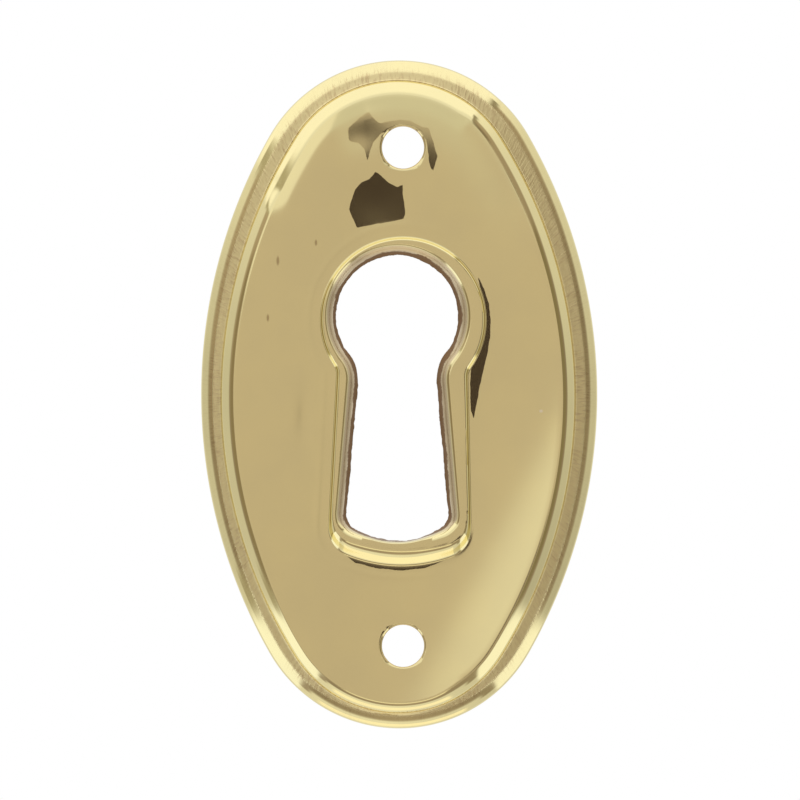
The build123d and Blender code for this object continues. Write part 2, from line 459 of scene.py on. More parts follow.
class PlateSizes(bpy.types.PropertyGroup):
    """Sizes of the pressed plate that a maker would change."""

    sheet: bpy.props.FloatProperty(
        name="Sheet",
        description="Thickness of the brass sheet",
        default=0.40 * MM,
        unit="LENGTH",
        precision=5,
    )
    rim_height: bpy.props.FloatProperty(
        name="Rim height",
        description="Height of the rim band above the wood, at the foot of the step",
        default=0.90 * MM,
        unit="LENGTH",
        precision=5,
    )
    band_width: bpy.props.FloatProperty(
        name="Band width",
        description="Width of the rim from its edge to the step",
        default=1.17 * MM,
        unit="LENGTH",
        precision=5,
    )
    border_run: bpy.props.FloatProperty(
        name="Border run",
        description="Width of the sloping border inside the step",
        default=0.75 * MM,
        unit="LENGTH",
        precision=5,
    )
    lip_radius: bpy.props.FloatProperty(
        name="Lip radius",
        description="Radius of the rolled outer edge",
        default=0.58 * MM,
        unit="LENGTH",
        precision=5,
    )
    shoulder_radius: bpy.props.FloatProperty(
        name="Shoulder radius",
        description="Radius of the step's upper edge",
        default=0.75 * MM,
        unit="LENGTH",
        precision=5,
    )
    mouth_width: bpy.props.FloatProperty(
        name="Mouth width",
        description="Width of the rounded mouth of the keyhole",
        default=0.43 * MM,
        unit="LENGTH",
        precision=5,
    )
    turned_in: bpy.props.FloatProperty(
        name="Turned in",
        description="Depth of the keyhole's turned-in edge",
        default=1.00 * MM,
        unit="LENGTH",
        precision=5,
    )
    wall_draw: bpy.props.FloatProperty(
        name="Wall draw",
        description="How far the keyhole's wall draws in towards the wood",
        default=0.18 * MM,
        unit="LENGTH",
        precision=5,
    )


class BrassLook(bpy.types.PropertyGroup):
    """Colours and finish of the brass."""

    brass: bpy.props.FloatVectorProperty(
        name="Brass",
        description="Colour of the polished brass",
        default=(0.89, 0.79, 0.43),
        size=3,
        subtype="COLOR",
        min=0,
        max=1,
    )
    # The colour that greys the keyhole's rounded mouth
    mouth_grey: bpy.props.FloatVectorProperty(
        name="Mouth grey",
        description="Colour of the keyhole's dulled edge",
        default=(0.56, 0.44, 0.31),
        size=3,
        subtype="COLOR",
        min=0,
        max=1,
    )
    burr: bpy.props.FloatVectorProperty(
        name="Burr",
        description="Colour of the punched edges",
        default=(0.24, 0.13, 0.05),
        size=3,
        subtype="COLOR",
        min=0,
        max=1,
    )
    raw: bpy.props.FloatVectorProperty(
        name="Raw brass",
        description="Colour of the unpolished back",
        default=(0.72, 0.58, 0.30),
        size=3,
        subtype="COLOR",
        min=0,
        max=1,
    )


class StudioSetup(bpy.types.PropertyGroup):
    """Where the camera stands, and where the floor lies."""

    distance: bpy.props.FloatProperty(
        name="Distance",
        description="Distance of the camera from the wood",
        default=1.2,
        unit="LENGTH",
    )
    floor_drop: bpy.props.FloatProperty(
        name="Floor drop",
        description="How far the floor lies below the plate",
        default=0.012,
        unit="LENGTH",
        precision=4,
    )


def rim_section(sizes):
    """The rim's section on the face: lip, band, step, shoulder, sloping border and crown."""
    roll_top = sizes.rim_height - (sizes.band_width - ROLL_RUN) * math.tan(BAND_SLOPE)
    corners = [
        (0, 0),
        (0, roll_top - ROLL_RUN * math.tan(ROLL_SLOPE)),
        (ROLL_RUN, roll_top),
        (sizes.band_width, sizes.rim_height),
        (sizes.band_width + STEP_DRAW, FIELD_HEIGHT - BORDER_RISE),
        (sizes.band_width + sizes.border_run, FIELD_HEIGHT),
        (sizes.band_width + sizes.border_run + CROWN_REACH, FIELD_HEIGHT),
    ]
    radii = [sizes.lip_radius, ROLL_RADIUS, FOLD_RADIUS, sizes.shoulder_radius, CROWN_RADIUS]
    return bend(corners, radii, RIM_STEPS)


def pad_section():
    """The pad's wall on the face, by how far inside its foot line: foot, wall and crest."""
    rise = PAD_TOP - FIELD_HEIGHT
    corners = [(-PAD_FOOT_REACH, 0), (0, 0), (PAD_WALL_RUN, rise), (PAD_WALL_RUN + PAD_CREST_REACH, rise)]
    return bend(corners, [PAD_FOOT_RADIUS, PAD_CREST_RADIUS], PAD_STEPS)


def mouth_section(sizes):
    """The keyhole's edge on the face, by how far outside its narrowest line: drawn-in wall and rounded mouth.

    The mouth is an arc whose slope falls from the wall's end of it to the pad's. At slope a the arc lies
    R (sin a1 - sin a) out from the wall and R (cos a0 - cos a) below the pad's top.
    """
    angle = np.linspace(MOUTH_SLOPES[1], MOUTH_SLOPES[0], MOUTH_STEPS + 1)
    low, high = MOUTH_SLOPES
    radius = sizes.mouth_width / (math.sin(high) - math.sin(low))
    out = sizes.wall_draw + radius * (math.sin(high) - np.sin(angle))
    height = PAD_TOP - radius * (math.cos(low) - np.cos(angle))
    foot = [(0, PAD_TOP - sizes.turned_in)]
    return np.concatenate([foot, np.stack([out, height], -1)])


OVAL = half_oval(HALF_WIDTH, HALF_HEIGHT, END_RADIUS)
STEP = half_oval(HALF_WIDTH - STEP_IN_SIDES, HALF_HEIGHT - STEP_IN_ENDS, STEP_END_RADIUS)
PAD = half_keyhole(*PAD_SHAPE)
KEY = half_keyhole(*KEY_SHAPE)


def smooth(value):
    """The value held between 0 and 1, with soft ends."""
    value = np.clip(value, 0, 1)
    return value * value * (3 - 2 * value)


def step_inset(points):
    """How far points lie inside the rim, counted so that the step's foot is one band width in."""
    return STEP_IN_SIDES - growth(STEP, points - STEP_SHIFT)


def sector(points, middle, half_width, soft):
    """1 where the rim beside the points lies within a half width of an azimuth, falling softly to 0 beyond."""
    azimuth = np.degrees(np.arctan2(points[..., 0] / HALF_WIDTH**2, points[..., 1] / HALF_HEIGHT**2))
    beside = np.abs((azimuth - middle + 180) % 360 - 180)
    return smooth((half_width + soft - beside) / soft)


def pad_frame(points):
    """Places on the face as the pad's tool has them: from the round end's centre, in its slight turn."""
    return turned(points - PAD_CENTRE, -PAD_TURN)


def relief(points):
    """Small dents and slow turns of the polished field, as heights at the points.

    A turn of the border is a slope about an inset, so its height is a tanh of the inset, over a range of
    azimuths. The ramp is a slope that sets in softly, s w ln(1 + exp((t - t0) / w)) by the way t along its
    azimuth. A dent is a Gaussian hollow, and the ridge a Gaussian of the distance from the pad.
    """
    inside = step_inset(points)
    height = np.zeros(points.shape[:-1])
    for middle, half_width, soft, inset, width, slope in BORDER_TURNS:
        fall = slope * width * (1 - np.tanh((inside - inset) / width))
        height -= sector(points, middle, half_width, soft) * fall
    turn, start, soft, slope = RAMP
    along = points[..., 0] * math.sin(turn) + points[..., 1] * math.cos(turn)
    height += slope * soft * np.log1p(np.exp((along - start) / soft))
    for x, z, across, up, depth in DENTS:
        height -= depth * np.exp(-(((points[..., 0] - x) / across) ** 2) - ((points[..., 1] - z) / up) ** 2)
    beyond = np.clip(growth(PAD, pad_frame(points)), 0, None)
    distance, width, rise = RIDGE
    fade = smooth(1 - points[..., 0] / RIDGE_FADE)
    return height + rise * fade * np.exp(-(((beyond - distance) / width) ** 2))


def spot_depth(points):
    """How far points lie inside the flat spots, negative outside.

    The distance is to the nearest edge of an outline. A point is inside where a ray to the right of it
    crosses the outline an odd number of times. The greatest value over the outlines is taken.
    """
    depth = np.full(points.shape[:-1], -1.0)
    for corners in FLAT_SPOTS:
        start = np.array(corners) * MM
        run = np.roll(start, -1, 0) - start
        away = points[..., None, :] - start
        part = np.clip((away * run).sum(-1) / (run**2).sum(-1), 0, 1)
        distance = np.linalg.norm(away - part[..., None] * run, axis=-1).min(-1)
        level = (away[..., 1] >= 0) != (away[..., 1] >= run[:, 1])
        rise = np.where(run[:, 1] == 0, 1, run[:, 1])
        crossed = level & (away[..., 0] < run[:, 0] * away[..., 1] / rise)
        depth = np.maximum(depth, np.where(crossed.sum(-1) % 2, distance, -distance))
    return depth


def mouth_growth(points):
    """How far points lie outside the keyhole's narrowest line, stretched where the mouth is narrower."""
    return growth(KEY, points - KEY_CENTRE) / np.interp(points[..., 1], *MOUTH_FORM.T)


def border_inset(sizes, points):
    """How far points lie inside the rim, stretched inside the step where the border is narrower."""
    inside = step_inset(points)
    middle, half_width, soft, squeeze = BORDER_SQUEEZE
    more = squeeze * sector(points, middle, half_width, soft)
    return inside + more * np.clip(inside - sizes.band_width, 0, None)


def face_height(sizes, points):
    """Height of the field, its border and the pad at the points, in metres above the wood.

    The rim's section is read by how far a point lies inside the outline, the pad's wall by how far it lies
    inside the pad's foot, and the rounded mouth of the keyhole cuts away what stands above it.
    """
    rim = rim_section(sizes)
    rim = rim[rim[:, 0] > sizes.band_width + TINY]
    height = np.interp(border_inset(sizes, points), rim[:, 0], rim[:, 1])
    wall = pad_section()
    from_pad = pad_frame(points)
    over_foot = -growth(PAD, from_pad) / np.interp(from_pad[..., 1], *PAD_FORM.T)
    height = height + np.interp(over_foot, wall[:, 0], wall[:, 1])
    mouth = mouth_section(sizes)[1:]
    cut = np.interp(mouth_growth(points), mouth[:, 0], mouth[:, 1], right=1)
    return np.minimum(np.minimum(height + relief(points), cut), PAD_TOP)


def pin_easing(points):
    """How far the edge of a pin hole is eased down at the points: a small bevel round each hole."""
    beside = np.abs(points[..., 1]) - PIN_SPACING / 2
    away = np.hypot(points[..., 0], beside) - PIN_HOLE_RADIUS
    return np.clip(PIN_EASED - away, 0, PIN_EASED)


def face_rings(sizes):
    """Every closed ring of the face, from the keyhole's wall outwards, as places on the face and heights."""
    share = np.arange(AROUND) / AROUND
    right = share < 0.5
    down = np.where(right, 2 * share, 2 - 2 * share)
    side = np.stack([np.where(right, 1, -1), np.ones(AROUND)], -1)
    key_down = np.interp(down, shares(PAD), shares(KEY))
    key_line, key_normal = walk(KEY, key_down)
    pad_line, pad_normal = walk(PAD, down)
    rim_line, rim_normal = walk(OVAL, down)
    step_line, step_normal = walk(STEP, np.interp(down, shares(OVAL), shares(STEP)))

    narrower = np.interp(key_line[:, 1:] + KEY_CENTRE[1], *MOUTH_FORM.T)
    wider = np.interp(pad_line[:, 1:], *PAD_FORM.T)
    burrs = BURR_REACH * burr_line()[:, None]

    def key_ring(out):
        cut = burrs * max(0, 1 - out / (2 * sizes.wall_draw))
        return (key_line + (out * narrower + cut) * key_normal) * side + KEY_CENTRE

    def pad_ring(inside):
        return turned((pad_line - inside * wider * pad_normal) * side, PAD_TURN) + PAD_CENTRE

    def rim_ring(inside):
        outer = (rim_line - inside * rim_normal) * side + TRIM_SHIFT
        inner = (step_line - (inside - STEP_IN_SIDES) * step_normal) * side + STEP_SHIFT
        return outer + (inner - outer) * band_share(inside)

    mouth = mouth_section(sizes)
    mouth = np.concatenate([np.linspace(mouth[0], mouth[1], WALL_STEPS + 1)[:-1], mouth[1:]])
    wall = pad_section()
    wall = wall[wall[:, 0] < PAD_WALL_RUN / 2][::-1]
    rim = divided(rim_section(sizes), RIM_STEP)[::-1]
    mouth_rings = np.array([key_ring(out) for out, _ in mouth])
    foot_rings = np.array([pad_ring(inside) for inside, _ in wall])
    outer_rings = np.array([rim_ring(inside) for inside, _ in rim])
    crest = 1 - np.linspace(1, 0, CREST_RINGS + 1)[1:-1, None, None] ** CREST_SPREAD
    crest_rings = mouth_rings[-1] + (foot_rings[0] - mouth_rings[-1]) * crest
    field = (np.linspace(0, 1, FIELD_RINGS + 1)[1:-1, None, None]) ** FIELD_SPREAD
    field_rings = foot_rings[-1] + (outer_rings[0] - foot_rings[-1]) * field
    places = np.concatenate([mouth_rings, crest_rings, foot_rings, field_rings, outer_rings])
    heights = face_height(sizes, places)
    heights[: len(mouth)] = mouth[:, 1:]
    walled = len(places) - len(rim) + np.flatnonzero(rim[:, 0] < sizes.band_width + TINY)
    heights[walled] = rim[walled - len(places), 1:]
    return places, heights


def burr_line():
    """An uneven line round the keyhole between about -1 and 1: fine and coarse smoothed random steps."""
    steps = np.random.default_rng(BURR_SEED).normal(size=(2, AROUND))
    line = 0
    for run, (count, share) in zip(steps, BURR_RUNS):
        line += share * sum(np.roll(run, shift) for shift in range(count))
    return np.clip(line, -1, 1)


def band_share(inside):
    """How much the rim follows the step's oval rather than the outline at an inset."""
    return smooth((inside - BAND_SHIFT_START) / (BAND_SHIFT_END - BAND_SHIFT_START))


def shares(half):
    """The shares of the way down half an outline at which its pieces meet."""
    return np.concatenate([[0], np.cumsum(half[5]) / half[5].sum()])


def to_space(places, heights):
    """Places on the face and heights above the wood as points in space."""
    return np.stack([places[..., 0], -heights, places[..., 1]], -1)


def quads(grid):
    """Four-sided faces between neighbouring rings and columns of a grid of vertex numbers."""
    return np.stack([grid[:-1, :-1], grid[:-1, 1:], grid[1:, 1:], grid[1:, :-1]], -1).reshape(-1, 4)


def pin_block(places, pin):
    """Rows and columns of the rings' grid round a pin hole, as index arrays that include both ends."""
    column = 0 if pin[1] > 0 else AROUND // 2
    beside = (places[:, column, 1] - pin[1]) * np.sign(pin[1])
    first = np.flatnonzero(beside < -PIN_BLOCK).max()
    last = np.flatnonzero(beside > PIN_BLOCK).min()
    offset = np.abs(places[first, :, 0] - places[first, column, 0])
    half = np.flatnonzero(np.roll(offset, -column)[: AROUND // 4] > PIN_BLOCK).min()
    return np.arange(first, last + 1), (column + np.arange(-half, half + 1)) % AROUND


class Sheet:
    """The plate's mesh while it is put together: blocks of vertices, faces and where each vertex lies."""

    def __init__(self):
        self.points = []
        self.faces = []
        self.finishes = []
        self.count = 0

    def add_points(self, points):
        """Adds a grid of points and returns their vertex numbers in the same shape."""
        numbers = self.count + np.arange(points[..., 0].size).reshape(points.shape[:-1])
        self.points.append(points.reshape(-1, 3))
        self.count += numbers.size
        return numbers

    def add_faces(self, faces, finish, flip=False):
        """Adds faces of one finish, turned over where flip is set."""
        self.faces.append(faces[:, ::-1] if flip else faces)
        self.finishes.append(np.full(len(faces), finish))


def closed(grid):
    """The grid of vertex numbers with its first column repeated at the end."""
    return np.concatenate([grid, grid[:, :1]], 1)


def block_border(grid, rows, columns):
    """Vertex numbers round the edge of a block of the grid, in order."""
    return np.concatenate(
        [
            grid[rows[0], columns[:-1]],
            grid[rows[:-1], columns[-1]],
            grid[rows[-1], columns[:0:-1]],
            grid[rows[:0:-1], columns[0]],
        ]
    )


def add_side(sheet, space, rows, blocks, finish, flip, height_at):
    """Adds one side of the plate with its pin holes, and returns its vertex grid and the holes' edges.

    The rings' grid is left open at each block. There, rings between the block's edge and the hole's circle
    fill it: a point is its own place on the circle, moved towards the block's edge by a rising share.
    """
    grid = sheet.add_points(space[rows])
    edges = []
    open_cells = np.zeros((len(space), AROUND), bool)
    for block_rows, columns in blocks:
        open_cells[np.ix_(block_rows[:-1], columns[:-1])] = True
    faces = quads(closed(grid))
    faces = faces[~open_cells[rows[:-1]].ravel()]
    sheet.add_faces(faces, finish, flip)
    where = np.full(len(space), -1)
    where[rows] = np.arange(len(rows))
    for (block_rows, columns), pin in zip(blocks, PINS):
        border = block_border(grid, where[block_rows], columns)
        edge_points = np.concatenate(sheet.points)[border]
        flat = edge_points[:, [0, 2]]
        out = flat - pin
        circle = pin + out / np.linalg.norm(out, axis=-1, keepdims=True) * PIN_HOLE_RADIUS
        share = np.linspace(0, 1, PIN_RINGS + 1)[:-1, None, None] ** PIN_SPREAD
        inner = circle + (flat - circle) * share
        inner_numbers = sheet.add_points(to_space(inner, height_at(inner)))
        fan = np.concatenate([inner_numbers, border[None]])
        sheet.add_faces(quads(closed(fan)), finish, flip)
        edges.append(inner_numbers[0])
    return grid, edges


def build_plate(sizes):
    """The whole plate as arrays: vertices, faces and the finish of each face.

    The back is the face set back by the sheet's thickness along its normals. The two sides are joined at
    the seat, down the keyhole's edge and in the pin holes.
    """
    places, heights = face_rings(sizes)
    space = to_space(places, heights)
    around = np.roll(space, -1, 1) - np.roll(space, 1, 1)
    normal = np.cross(around, np.gradient(space, axis=0))
    normal /= np.linalg.norm(normal, axis=-1, keepdims=True)
    normal *= np.sign(-normal[len(normal) // 2, 0, 1])
    back_space = space - sizes.sheet * normal
    blocks = [pin_block(places, pin) for pin in PINS]
    every = np.arange(len(space))
    by_pins = np.isin(every, np.concatenate([rows for rows, _ in blocks]))
    back_rows = every[by_pins | (every % 2 == 0) | (every == every[-1])]
    sheet = Sheet()
    face_grid, face_edges = add_side(
        sheet, space, every, blocks, FACE, False, lambda at: face_height(sizes, at) - pin_easing(at)
    )
    back_grid, back_edges = add_side(
        sheet, back_space, back_rows, blocks, BACK, True, lambda at: face_height(sizes, at) - sizes.sheet
    )
    for upper, lower, finish, flip in (
        (face_grid[0], back_grid[0], CUT, True),
        (face_grid[-1], back_grid[-1], BACK, False),
        *[(face, back, CUT, True) for face, back in zip(face_edges, back_edges)],
    ):
        sheet.add_faces(quads(closed(np.stack([upper, lower]))), finish, flip)
    vertices = np.concatenate(sheet.points)
    faces = np.concatenate(sheet.faces)
    a, b, c, d = (vertices[faces[:, k]] for k in range(4))
    volume = np.einsum("ij,ij->i", a, np.cross(b, c)).sum() + np.einsum("ij,ij->i", a, np.cross(c, d)).sum()
    if volume < 0:
        faces = faces[:, ::-1]
    return vertices, faces, np.concatenate(sheet.finishes)


def put_attribute(mesh, name, kind, values):
    """Stores one value for each vertex under a name."""
    attribute = mesh.attributes.new(name, kind, "POINT")
    field = "vector" if kind == "FLOAT_VECTOR" else "value"
    attribute.data.foreach_set(field, np.ascontiguousarray(values, np.float32).ravel())


def store_finish_maps(mesh, sizes, vertices):
    """Stores where each vertex lies, for the finishes.

    inset is how far it lies inside the outline, and spot_depth how far inside a flat spot. edge_run is the
    way across the keyhole's mouth and then down its wall, counted from where the mouth begins. round_trip is
    a place on a cylinder as long round as the outline, with the way in from the edge upwards.
    """
    flat = vertices[:, [0, 2]]
    inside = -growth(OVAL, flat - TRIM_SHIFT)
    inside += (step_inset(flat) - inside) * band_share(inside)
    out = mouth_growth(flat)
    run = np.clip(sizes.wall_draw + sizes.mouth_width - out, -sizes.mouth_width, sizes.mouth_width)
    drop = np.clip(mouth_section(sizes)[1, 1] + vertices[:, 1], 0, None)
    run = run + np.where(out < sizes.wall_draw + TINY, drop, 0)
    angle = np.arctan2(flat[:, 0] - TRIM_SHIFT[0], flat[:, 1] - TRIM_SHIFT[1])
    trip = np.concatenate([OVAL[5].sum() / math.pi * direction(angle), inside[:, None]], 1)
    put_attribute(mesh, "inset", "FLOAT", inside)
    put_attribute(mesh, "edge_run", "FLOAT", run)
    put_attribute(mesh, "spot_depth", "FLOAT", spot_depth(flat))
    put_attribute(mesh, "round_trip", "FLOAT_VECTOR", trip)


def wire(tree, kind, inputs=None, **settings):
    """A new node with its settings, and each named input set to a value or joined to another's output."""
    node = tree.nodes.new(kind)
    for name, value in settings.items():
        setattr(node, name, value)
    for name, value in (inputs or {}).items():
        if isinstance(value, bpy.types.NodeSocket):
            tree.links.new(value, node.inputs[name])
        else:
            node.inputs[name].default_value = value
    return node


def value_of(tree, operation, *values):
    """The result of one Math node."""
    return wire(tree, "ShaderNodeMath", dict(enumerate(values)), operation=operation).outputs[0]


def product(tree, first, second):
    """The product of two values."""
    return value_of(tree, "MULTIPLY", first, second)


def shifted(tree, value, pattern, reach):
    """The value with a pattern added, as far as the reach where the pattern is 1."""
    return value_of(tree, "MULTIPLY_ADD", pattern, reach, value)


def vector_of(tree, operation, *values, output="Vector"):
    """The result of one Vector Math node."""
    return wire(tree, "ShaderNodeVectorMath", dict(enumerate(values)), operation=operation).outputs[output]


def stored(tree, name, output="Fac"):
    """What the mesh stores for each vertex under a name."""
    return wire(tree, "ShaderNodeAttribute", attribute_name=name).outputs[output]


def mixed_shader(tree, share, first, second):
    """The shader that lies between two shaders by a share."""
    return wire(tree, "ShaderNodeMixShader", {0: share, 1: first, 2: second}).outputs[0]


def between(tree, value, low, high, start=0.0, end=1.0, kind="SMOOTHSTEP"):
    """The value mapped smoothly from low..high to start..end, and held beyond them."""
    inputs = {"Value": value, "From Min": low, "From Max": high, "To Min": start, "To Max": end}
    return wire(tree, "ShaderNodeMapRange", inputs, interpolation_type=kind).outputs["Result"]


def blend(tree, share, first, second):
    """The colour that lies between two colours by a share."""
    mix = wire(tree, "ShaderNodeMix", data_type="RGBA")
    for socket, value in ((mix.inputs[0], share), (mix.inputs[6], first), (mix.inputs[7], second)):
        if isinstance(value, bpy.types.NodeSocket):
            tree.links.new(value, socket)
        else:
            socket.default_value = value
    return mix.outputs[2]


def opaque(colour):
    """The colour with an alpha of 1."""
    return (*colour[:3], 1.0)


def cloud(tree, place, size, detail=2.0, roughness=0.5):
    """A noise value whose lumps are about as large as the given size."""
    inputs = {"Vector": place, "Scale": 1 / size, "Detail": detail, "Roughness": roughness}
    return wire(tree, "ShaderNodeTexNoise", inputs).outputs["Fac"]


def new_material(name):
    """A material with an empty node tree, and its tree."""
    material = bpy.data.materials.new(name)
    material.use_nodes = True
    material.node_tree.nodes.clear()
    return material, material.node_tree


def finish_material(tree, inputs):
    """Ends a material in a Principled shader with the given inputs."""
    shader = wire(tree, "ShaderNodeBsdfPrincipled", inputs)
    wire(tree, "ShaderNodeOutputMaterial", {"Surface": shader.outputs["BSDF"]})


def new_group(name, inputs, outputs):
    """An empty shader node group with named sockets, and the sockets that bring in what it is given."""
    tree = bpy.data.node_groups.new(name, "ShaderNodeTree")
    for side, sockets in (("INPUT", inputs), ("OUTPUT", outputs)):
        for label, kind in sockets.items():
            tree.interface.new_socket(label, in_out=side, socket_type=kind)
    return tree, wire(tree, "NodeGroupInput").outputs


def group_noise(tree, given):
    """The noise inside a group, at the place, scale and detail that the group is given."""
    inputs = {"Vector": given["Place"], "Scale": given["Scale"], "Detail": given["Detail"]}
    return wire(tree, "ShaderNodeTexNoise", inputs).outputs["Fac"]


def clouding_group():
    """Two colours mingled by the lumps of a noise, as a group. It puts out the lumps and the colour."""
    inputs = {"Place": VECTOR, **dict.fromkeys(("Scale", "Detail", "Low", "High"), FLOAT)}
    inputs.update(First=COLOUR, Second=COLOUR)
    tree, given = new_group("clouding", inputs, {"Lumps": FLOAT, "Color": COLOUR})
    lumps = group_noise(tree, given)
    share = between(tree, lumps, given["Low"], given["High"], kind="LINEAR")
    colour = blend(tree, share, given["First"], given["Second"])
    wire(tree, "NodeGroupOutput", {"Lumps": lumps, "Color": colour})
    return tree


def roughening_group():
    """The bumps of metal that isn't polished, as a group. It puts out a noise's lumps and their normal."""
    inputs = {"Place": VECTOR, "Scale": FLOAT, "Detail": FLOAT, "Depth": FLOAT}
    tree, given = new_group("roughening", inputs, {"Lumps": FLOAT, "Normal": VECTOR})
    lumps = group_noise(tree, given)
    bump = wire(tree, "ShaderNodeBump", {"Height": lumps, "Distance": given["Depth"]})
    wire(tree, "NodeGroupOutput", {"Lumps": lumps, "Normal": bump.outputs["Normal"]})
    return tree


def clouded(tree, clouding, place, size, detail, limits, colours):
    """The clouding placed in a material, as what it puts out."""
    names = ("Place", "Scale", "Detail", "Low", "High", "First", "Second")
    inputs = dict(zip(names, (place, 1 / size, detail, *limits, *colours)))
    return wire(tree, "ShaderNodeGroup", inputs, node_tree=clouding).outputs


def roughened(tree, roughening, place, size, detail, depth):
    """The roughening placed in a material, as what it puts out."""
    inputs = {"Place": place, "Scale": 1 / size, "Detail": detail, "Depth": depth}
    return wire(tree, "ShaderNodeGroup", inputs, node_tree=roughening).outputs


def mark_share(tree, place, x, z, half_x, half_z):
    """How much a small oval mark covers what is under it."""
    away = vector_of(tree, "SUBTRACT", place, (x, 0, z))
    away = vector_of(tree, "MULTIPLY", away, (1 / half_x, 0, 1 / half_z))
    return between(tree, vector_of(tree, "LENGTH", away, output="Value"), 0.4, 1.2, 0.6, 0)


def spot_normal(tree, place):
    """The surface's normal, leant over inside the flat spots, whose edges waver a little."""
    wavering = cloud(tree, place, SPOT_SIZE, 3.0)
    in_spot = between(tree, shifted(tree, stored(tree, "spot_depth"), wavering, SPOT_SHIFT), *SPOT_START)
    slope = math.tan(SPOT_LEAN)
    lean = (math.sin(SPOT_AZIMUTH) * slope, 0, math.cos(SPOT_AZIMUTH) * slope)
    normal = wire(tree, "ShaderNodeNewGeometry").outputs["Normal"]
    return vector_of(tree, "NORMALIZE", vector_of(tree, "MULTIPLY_ADD", in_spot, lean, normal))


def polished_brass(sizes, look, clouding):
    """The face: polished brass, a grained band, a greyed, dulled mouth, a browned cut and painted shade by the
    pins.
    """
    material, tree = new_material("polished_brass")
    place = wire(tree, "ShaderNodeTexCoord").outputs["Object"]
    across, _, up = wire(tree, "ShaderNodeSeparateXYZ", {0: place}).outputs
    inset = stored(tree, "inset")
    run = stored(tree, "edge_run")
    clouds = clouded(tree, clouding, place, CLOUD_SIZE, 2.0, (0.35, 0.65), (opaque(look.brass), CLOUDED))
    streaks = vector_of(tree, "MULTIPLY", stored(tree, "round_trip", "Vector"), (1, 1, 0.25))
    grain = cloud(tree, streaks, GRAIN_SIZE, 2.0, 0.6)
    ragged = cloud(tree, place, RAGGED_SIZE, 3.0, 0.6)
    band_end = [sizes.band_width + past for past in GRAIN_END]
    on_band = product(tree, between(tree, inset, *GRAIN_START), between(tree, inset, *band_end, 1, 0))
    patchy = between(tree, clouds["Lumps"], 0.3, 0.7, 0.1, 0.55)
    wear = product(tree, between(tree, grain, 0.45, 0.70), patchy)
    wear = product(tree, wear, between(tree, inset, *WEAR_START, 0.15, 1))
    wear = product(tree, wear, between(tree, inset, sizes.band_width, sizes.band_width + FOLD_RADIUS, 1, 0))
    # The keyhole's mouth is greyer and rougher, less so towards the keyhole's base
    greyed_mouth = between(tree, shifted(tree, run, ragged, MOUTH_GREY_SHIFT), *MOUTH_GREY_START)
    greyed_mouth = product(tree, greyed_mouth, between(tree, up, *MOUTH_GREY_FOOT, 0.15, 1))
    reach = shifted(tree, run, cloud(tree, place, UNEVEN_SIZE), BROWN_SHIFT)
    browned = between(tree, shifted(tree, reach, ragged, BROWN_RAGGED), *BROWN_START)
    # Painted shade on each pin hole's eased edge: a brown tint, strongest at the hole and gone two easings out
    beside = value_of(tree, "SUBTRACT", value_of(tree, "ABSOLUTE", up), PIN_SPACING / 2)
    from_pin = wire(tree, "ShaderNodeCombineXYZ", {0: across, 1: beside}).outputs[0]
    from_pin = vector_of(tree, "LENGTH", from_pin, output="Value")
    pin_painted_shade = between(tree, from_pin, PIN_HOLE_RADIUS, PIN_HOLE_RADIUS + 2 * PIN_EASED, 0.7, 0)
    colour = clouds["Color"]
    for share, tone in (
        (product(tree, on_band, 0.6), BAND_TONE),
        (wear, WORN),
        (product(tree, greyed_mouth, 0.8), opaque(look.mouth_grey)),
        (browned, opaque(look.burr)),
        (pin_painted_shade, PIN_PAINTED_SHADE),
        *[(mark_share(tree, place, *mark), tone) for *mark, tone in MARKS],
    ):
        colour = blend(tree, share, colour, tone)
    rough = shifted(tree, 0.07, on_band, 0.28)
    rough = shifted(tree, rough, greyed_mouth, 0.22)
    rough = shifted(tree, rough, browned, 0.25)
    height = product(tree, grain, on_band)
    inputs = {"Height": height, "Distance": GRAIN_DEPTH, "Normal": spot_normal(tree, place)}
    normal = wire(tree, "ShaderNodeBump", inputs).outputs["Normal"]
    finish_material(tree, {"Base Color": colour, "Roughness": rough, "Metallic": 1.0, "Normal": normal})
    return material


def raw_brass(look, clouding, roughening):
    """The back: the sheet as it came from the press, dull and a little clouded."""
    material, tree = new_material("raw_brass")
    place = wire(tree, "ShaderNodeTexCoord").outputs["Object"]
    colours = (opaque(look.raw), RAW_SHADE)
    colour = clouded(tree, clouding, place, RAW_CLOUD_SIZE, 4.0, (0.3, 0.7), colours)["Color"]
    rough = between(tree, cloud(tree, place, RAW_GLOSS_SIZE, 4.0), 0.3, 0.7, 0.28, 0.42, "LINEAR")
    normal = roughened(tree, roughening, place, RAW_LUMP_SIZE, 3.0, RAW_LUMP_DEPTH)["Normal"]
    finish_material(tree, {"Base Color": colour, "Roughness": rough, "Metallic": 1.0, "Normal": normal})
    return material


def cut_brass(look, roughening):
    """The punched edges of the keyhole and the pin holes, browned and rough."""
    material, tree = new_material("cut_brass")
    place = wire(tree, "ShaderNodeTexCoord").outputs["Object"]
    lumps, normal = roughened(tree, roughening, place, CUT_LUMP_SIZE, 4.0, CUT_LUMP_DEPTH)
    colour = blend(tree, between(tree, lumps, 0.35, 0.7), opaque(look.burr), CUT_SHADE)
    finish_material(tree, {"Base Color": colour, "Roughness": 0.5, "Metallic": 0.7, "Normal": normal})
    return material


